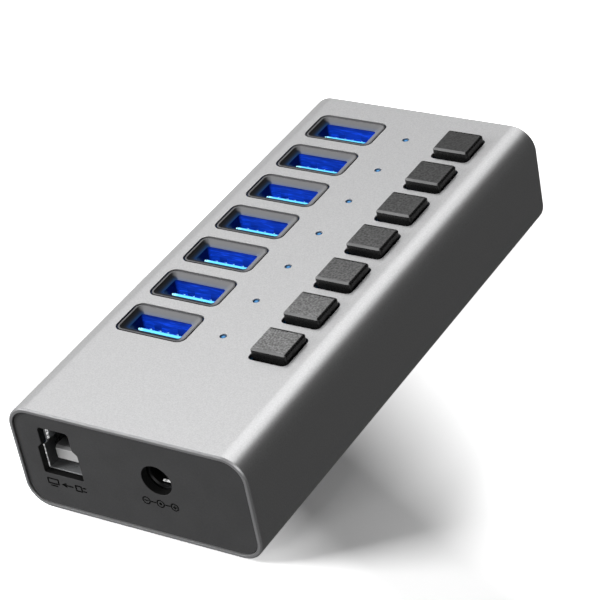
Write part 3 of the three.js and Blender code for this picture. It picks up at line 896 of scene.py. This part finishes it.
def make_button(row):
    """A square cap, hollow below for the switch's stem. Its chamfers are dark with painted shade
    on the right and at the back, and pale with a painted highlight at the front."""
    node = f"button_cap_{row}"
    low, high, middle = node_box(node)
    size = high - low
    corners = rectangle(size.x, size.y, middle.x, middle.y)
    chamfer, edge = BUTTON_CHAMFER, 0.1
    side = rounded_line(
        [(edge * 2, low.z), (0, low.z), (0, high.z - chamfer), (chamfer, high.z),
         (chamfer * 2, high.z)], [0, edge, 0.1, 0.25, 0])[1:]
    below = 1 + 2 * EDGE_STEPS
    shape = Shape()
    shape.sweep(corners, BUTTON_RADIUS, side, filled=(),
                materials=[0] * below + [1] * (len(side) - below))
    # Painted shade: right and back chamfers take the dark side material. Painted highlight: front
    # chamfers take the pale edge material.
    lit_end = high - Vector((chamfer * 1.2, chamfer * 1.8, 0))
    for face in shape.mesh.faces:
        centre = face.calc_center_median()
        if centre.x > lit_end.x or centre.y > lit_end.y:
            face.material_index = 0
        elif face.material_index and centre.y < low.y + chamfer * 1.2:
            face.material_index = 2
    dish = [(inset, high.z - drop) for inset, drop in BUTTON_DISH]
    shape.sweep(corners, BUTTON_RADIUS, dish, filled=(-1,), material=1)
    stem_low, stem_high, _ = node_box(f"switch_stem_{row}")
    well = outline(rectangle(stem_high.x - stem_low.x + 0.4, stem_high.y - stem_low.y + 0.4,
                             middle.x, middle.y), 0.2)
    shape.fill(outline(corners, BUTTON_RADIUS, edge), [well], [], upright, low.z)
    shape.join([upright(well, z) for z in (low.z, stem_high.z + 0.2)], filled=(-1,))
    materials = [BUTTON_SIDE_AND_PAINTED_SHADE, BUTTON_TOP, BUTTON_EDGE_PAINTED_HIGHLIGHT]
    shape.piece(f"button_{row}_cap", materials, "button_plastic", node, f"button_{row}")


def quarter_turns():
    """Six even angles up to a quarter turn."""
    return (math.pi / 2 * step / 6 for step in range(1, 7))


def make_status_light(row):
    """A clear pipe with a domed end. Its glow fades from the axis to the edge."""
    node = f"light_pipe_{row}"
    low, high, middle = node_box(node)
    stem_radius, radius, dome = STATUS_LIGHT_RADIUS, STATUS_LIGHT_HEAD, STATUS_LIGHT_DOME
    base = (high.x - low.x) / 2
    stem = rounded_line([(base, low.z), (base, low.z + 1), (stem_radius, low.z + 1),
                         (stem_radius, high.z - 0.8), (radius, high.z - 0.7),
                         (radius, high.z - dome)], [0, 0.1, 0.1, 0.05, 0.05, 0], steps=2)
    arc = [(radius * math.cos(turn), high.z - dome + dome * math.sin(turn))
           for turn in quarter_turns()]
    shape = Shape()
    shape.turn([*stem, *arc], middle.x, middle.y, upright, steps=32)
    piece = shape.piece(f"status_light_{row}", [STATUS_LIGHT], "light_pipe", node)
    add_glow(piece, lambda place: max(
        0.0, 1 - ((place.xy - middle.xy).length / radius) ** 2) ** 2)


# ---- computer socket ----

def make_host_socket():
    """The stepped shell with a spring on each side wall. Its left front edge carries a painted
    glint.
    """
    low, high, middle = node_box("usb_b_shell")
    edge = HOST_SHEET * 0.45
    profile = rounded_line(
        [(0, low.y), (0, high.y), (HOST_SHEET, high.y), (HOST_SHEET, low.y)], edge, closed=True)
    shape = Shape()
    shape.sweep(host_corners(), 0.3, profile, along_y, closed=True, least=0.15)
    # Painted glint: the left front edge below the step takes the glowing spring material.
    for face in shape.mesh.faces:
        centre = face.calc_center_median()
        is_left_front = centre.x < low.x + HOST_SHEET and centre.y < low.y + edge * 2
        if is_left_front and low.z + 1.2 < centre.z < HOST_STEP_Z:
            face.material_index = 1
    upper = (high.x - low.x) / 2 - HOST_STEP_WIDTH - HOST_SHEET
    for side in (-1, 1):
        add_side_leaf(shape, middle.x + side * upper, low.y, (HOST_STEP_Z + high.z) / 2 + 0.4, side)
    shape.piece("computer_socket_shell", [HOST_STEEL, SPRING_PAINTED_GLINT], "plated_steel", "usb_b_shell")


def add_side_leaf(shape, x, start_y, z, side):
    """A leaf spring on a side wall of the computer socket. Its front end is polished and carries
    a painted glint.
    """
    width, length, bow, sheet, steps = 3.2, 5.0, 0.5, 0.15, 16

    def section(share):
        reach = bow * math.sin(math.pi * share) ** 1.2 + 0.02
        y = start_y + 0.25 + length * share
        return [Vector((x - side * (reach - back), y, z + high))
                for high, back in flat_section(width / 2, sheet)]

    shape.strip(steps, section, materials=[1] * 2 + [0] * (steps - 2))


def make_host_insulator():
    """Base, lower tongue with two contacts above and two below, and the shelf with five."""
    low, high, middle = node_box("usb_b_insulator")
    base_y = high.y - HOST_BASE
    centre_z = HOST_TONGUE_Z
    shape = Shape()
    gap = HOST_SHEET + GLUE_GAP
    profile = [(gap + inset, y) for inset, y in block_profile(base_y, high.y, 0.15)]
    shape.sweep(host_corners(), 0.3, profile, along_y, least=0.1)
    bevel, edge = 0.62, 0.08
    half, rise = HOST_TONGUE[0] / 2, HOST_TONGUE[1] / 2
    side = rounded_line(
        [(low.y, centre_z - rise), (base_y + 0.3, centre_z - rise),
         (base_y + 0.3, centre_z + rise), (low.y + bevel, centre_z + rise),
         (low.y, centre_z + rise - bevel)], edge, closed=True)
    across = [(-half, edge), (-half + edge * 0.3, edge * 0.3), (-half + edge, 0),
              (half - edge, 0), (half - edge * 0.3, edge * 0.3), (half, edge)]
    core = Vector(((low.y + base_y) / 2, centre_z))
    rings = []
    for x, inset in across:
        shrunk = [point + (core - point).normalized() * inset for point in side]
        rings.append([Vector((middle.x + x, point.x, point.y)) for point in shrunk])
    shape.join(rings)
    for side in (-1, 1):
        face = centre_z + side * rise
        z0, z1 = sorted((face - side * 0.1, face + side * 0.12))
        for x in (middle.x - 1.25, middle.x + 1.25):
            shape.block((x - 0.5, low.y + 3.0, z0), (x + 0.5, base_y, z1), 0.06, material=1)
    shelf_low, shelf_high = HOST_SHELF_Z
    shelf_y = low.y + 3.05
    shelf = rectangle(5.2, shelf_high - shelf_low, middle.x, (shelf_low + shelf_high) / 2)
    lip = rounded_line([(0.5, shelf_y), (0.2, shelf_y), (0, shelf_y + 0.35), (0, base_y + 0.3)],
                       [0, 0.1, 0.15, 0])
    shape.sweep(shelf, 0.2, lip, along_y)
    for x in (middle.x + step for step in (-2, -1, 0, 1, 2)):
        shape.block((x - 0.25, shelf_y + 0.5, shelf_low - 0.1),
                    (x + 0.25, base_y, shelf_low + 0.1), 0.05, material=1)
    shape.piece(
        "computer_socket_tongue", [TONGUE_PLASTIC, GOLD], "grey_plastic", "usb_b_insulator")


# ---- power jack ----

def make_jack_body(x, z, bore_end):
    low, high, middle = node_box("power_jack_body")
    edge, corner = 0.25, 0.3
    corners = rectangle(high.x - low.x, high.z - low.z, x, middle.z)
    side = rounded_line([(edge * 2, low.y), (0, low.y), (0, high.y), (edge * 2, high.y)], edge)
    mouth = circle(JACK_MOUTH_RADIUS, x, z)
    bore = rounded_line([(JACK_MOUTH_RADIUS, low.y), (JACK_BORE_RADIUS, low.y + 0.4),
                         (JACK_BORE_RADIUS, bore_end), (0, bore_end)], [0, 0.1, 0.2, 0])
    shape = Shape()
    shape.sweep(corners, corner, side[1:], along_y, filled=(-1,))
    shape.fill(outline(corners, corner, edge), [mouth], [], along_y, low.y)
    shape.turn(bore, x, z, filled=())
    shape.piece("jack_body", [BLACK_PLASTIC], "connector_plastic", "power_jack_body")


def make_power_jack():
    low, high, pin = node_box("power_jack_pin")
    x, z = node_box("power_jack_body")[2].x, pin.z
    make_jack_body(x, z, high.y + 0.3)

    shank, base = JACK_PIN_RADIUS, (high.x - low.x) / 2
    tip = [(shank * math.sin(turn), low.y + 0.7 - 0.7 * math.cos(turn))
           for turn in quarter_turns()]
    rest = rounded_line([tip[-1], (shank, high.y - 1), (base, high.y - 1), (base, high.y)],
                        [0, 0.2, 0.15, 0])
    shape = Shape()
    shape.turn([*tip, *rest[1:]], x, z, steps=32)
    shape.piece("jack_pin", [GOLD], "brass", "power_jack_pin")

    low, high, _ = node_box("power_jack_spring")
    steps, sheet = 12, 0.2

    def section(share):
        y = low.y + (high.y - low.y) * share
        bottom = low.z + 0.06 * math.sin(math.pi * share)
        top = bottom + sheet
        return [Vector((px, y, pz)) for px, pz in
                ((low.x, bottom), (high.x, bottom), (high.x, top), (low.x, top))]

    shape = Shape()
    # Painted glint: the spring's front end takes the glowing spring material.
    shape.strip(steps, section, materials=[1] + [0] * (steps - 1))
    shape.piece("jack_spring", [STEEL, SPRING_PAINTED_GLINT], "plated_steel", "power_jack_spring")


# ---- pieces that keep their CAD shape ----

def dress_hidden_pieces():
    finishes = {"circuit_board": SOLDER_MASK, "hub_controller_upper": EPOXY,
                "hub_controller_lower": EPOXY, "clock_crystal": STEEL, "power_inductor": EPOXY,
                "power_capacitor": CAN_METAL}
    for row in ROWS:
        finishes[f"switch_body_{row}"] = BLACK_PLASTIC
        finishes[f"switch_stem_{row}"] = GREY_PLASTIC
    for node, material in finishes.items():
        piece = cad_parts[node]
        for slot in piece.material_slots:
            slot.material = material
        add_bevel(piece, 0.15)


# ---- floor, light and camera ----

def make_floor():
    """A floor that only the camera sees. Its glow stands for the photograph's white backdrop and
    leaves a dim stretch beside the object, where the shadow lies."""
    data = bpy.data.meshes.new("floor")
    shape = bmesh.new()
    bmesh.ops.create_grid(shape, x_segments=8, y_segments=8, size=FLOOR_SIZE)
    shape.to_mesh(data)
    shape.free()
    finish = Finish("pale floor", Roughness=0.9, Specular_IOR_Level=0.0,
                    Emission_Color=(1, 1, 1, 1))
    turned = finish.node("Mapping", {
        "Vector": finish.place, "Rotation": (0, 0, math.radians(FLOOR_GLOW_TURN))})
    along = finish.axis("Y", turned.outputs["Vector"])
    glow = finish.ramp(finish.spread(along, 0.0, 1.0, *FLOOR_GLOW_STRETCH), *FLOOR_GLOW)
    reach = finish.node("VectorMath", {0: finish.place}, operation="LENGTH").outputs["Value"]
    far = finish.spread(reach, 0.0, 1.0, *FLOOR_GLOW_REACH)
    finish.set("Emission Strength", finish.math("MAXIMUM", glow, far))
    finish.tint(finish.noise(300, 2), 0.97, 0.99, 0.2, 0.8)
    data.materials.append(finish.material)
    floor = add_object("floor", data)
    floor.visible_glossy = False
    floor.visible_diffuse = False


def make_world():
    """White for the camera, dim light from all round for matt surfaces, and for polished ones a
    room that is bright above and behind on the left, and dim on the right."""
    world = bpy.data.worlds.new("studio")
    bpy.context.scene.world = world
    world.use_nodes = True
    tree = world.node_tree
    tree.nodes.clear()

    def fade(value, start, end, low, high):
        return add_node(tree, "MapRange", {
            "Value": value, "From Min": start, "From Max": end, "To Min": low, "To Max": high,
        }, interpolation_type="SMOOTHSTEP").outputs["Result"]

    def join(how, one, two):
        return add_node(tree, "Math", {0: one, 1: two}, operation=how).outputs[0]

    def background(strength):
        return add_node(tree, "Background", {"Strength": strength}).outputs[0]

    def choose(factor, one, two):
        return add_node(tree, "MixShader", {0: factor, 1: one, 2: two}).outputs[0]

    direction = add_node(tree, "TexCoord").outputs["Generated"]
    x, y, z = add_node(tree, "SeparateXYZ", {"Vector": direction}).outputs
    above = join("MULTIPLY", fade(z, *ROOM_ABOVE), fade(x, *ROOM_ABOVE_SIDE))
    above = join("MAXIMUM", above, fade(x, *ROOM_LEFT))
    behind = join("MULTIPLY", above, fade(y, *ROOM_BEHIND))
    front = join("MULTIPLY", fade(y, *ROOM_FRONT), fade(x, *ROOM_FRONT_SIDE))
    ahead, high, right = (fade(value, *ends) for value, ends in zip((y, z, x), ROOM_ASIDE))
    aside = join("MULTIPLY", join("MULTIPLY", ahead, high), right)
    lit = join("MAXIMUM", join("MAXIMUM", join("MAXIMUM", behind, front), aside), ROOM_DARK)
    ray = add_node(tree, "LightPath").outputs
    seen = choose(ray["Is Glossy Ray"], background(AMBIENT), background(lit))
    seen = choose(ray["Is Camera Ray"], seen, background(1.0))
    add_node(tree, "OutputWorld", {"Surface": seen})


def add_light(name, place, size, power, hidden_from):
    data = bpy.data.lights.new(name, "AREA")
    data.size = size
    data.energy = power
    light = add_object(name, data)
    light.location = place
    light.rotation_mode = "QUATERNION"
    light.rotation_quaternion = (Vector(LIGHT_TARGET) - Vector(place)).to_track_quat("-Z", "Y")
    setattr(light, hidden_from, False)


def make_lights():
    """Soft lights from the front left, the front and behind for matt surfaces, and a small lamp
    that only shows as glints in glossy ones."""
    key_place = Vector(KEY_DIRECTION).normalized() * KEY_DISTANCE
    add_light("key", key_place, SOFT_SIZE, KEY_POWER, "visible_glossy")
    add_light("glint", key_place, GLINT_SIZE, GLINT_POWER, "visible_diffuse")
    add_light("fill", FILL_PLACE, SOFT_SIZE, FILL_POWER, "visible_glossy")
    add_light("back", BACK_PLACE, SOFT_SIZE, BACK_POWER, "visible_glossy")


def make_camera():
    azimuth, elevation, roll = (
        math.radians(angle) for angle in (CAMERA_AZIMUTH, CAMERA_ELEVATION, CAMERA_ROLL))
    back = Vector((math.sin(azimuth) * math.cos(elevation),
                   -math.cos(azimuth) * math.cos(elevation), math.sin(elevation)))
    level = Vector((math.cos(azimuth), math.sin(azimuth), 0))
    right = Matrix.Rotation(roll, 3, back) @ level
    up = back.cross(right)
    housing_low, _, _ = node_box("housing")
    place = (back * CAMERA_DISTANCE + right * CAMERA_ASIDE + up * CAMERA_ABOVE
             + Vector((0, 0, housing_low.z)))
    data = bpy.data.cameras.new("camera")
    data.lens = CAMERA_LENS
    data.clip_start, data.clip_end = 0.01, 10
    camera = add_object("camera", data)
    turn = Matrix((right, up, back)).transposed().to_4x4()
    camera.matrix_world = Matrix.Translation(place * MM) @ turn
    bpy.context.scene.camera = camera


make_camera()
make_housing()
make_caps()
make_feet()
for row in ROWS:
    make_socket_shell(row)
    make_socket_insulator(row)
    make_button(row)
    make_status_light(row)
make_host_socket()
make_host_insulator()
make_power_jack()
dress_hidden_pieces()
make_floor()
make_world()
make_lights()
bpy.context.scene.view_settings.view_transform = "Standard"
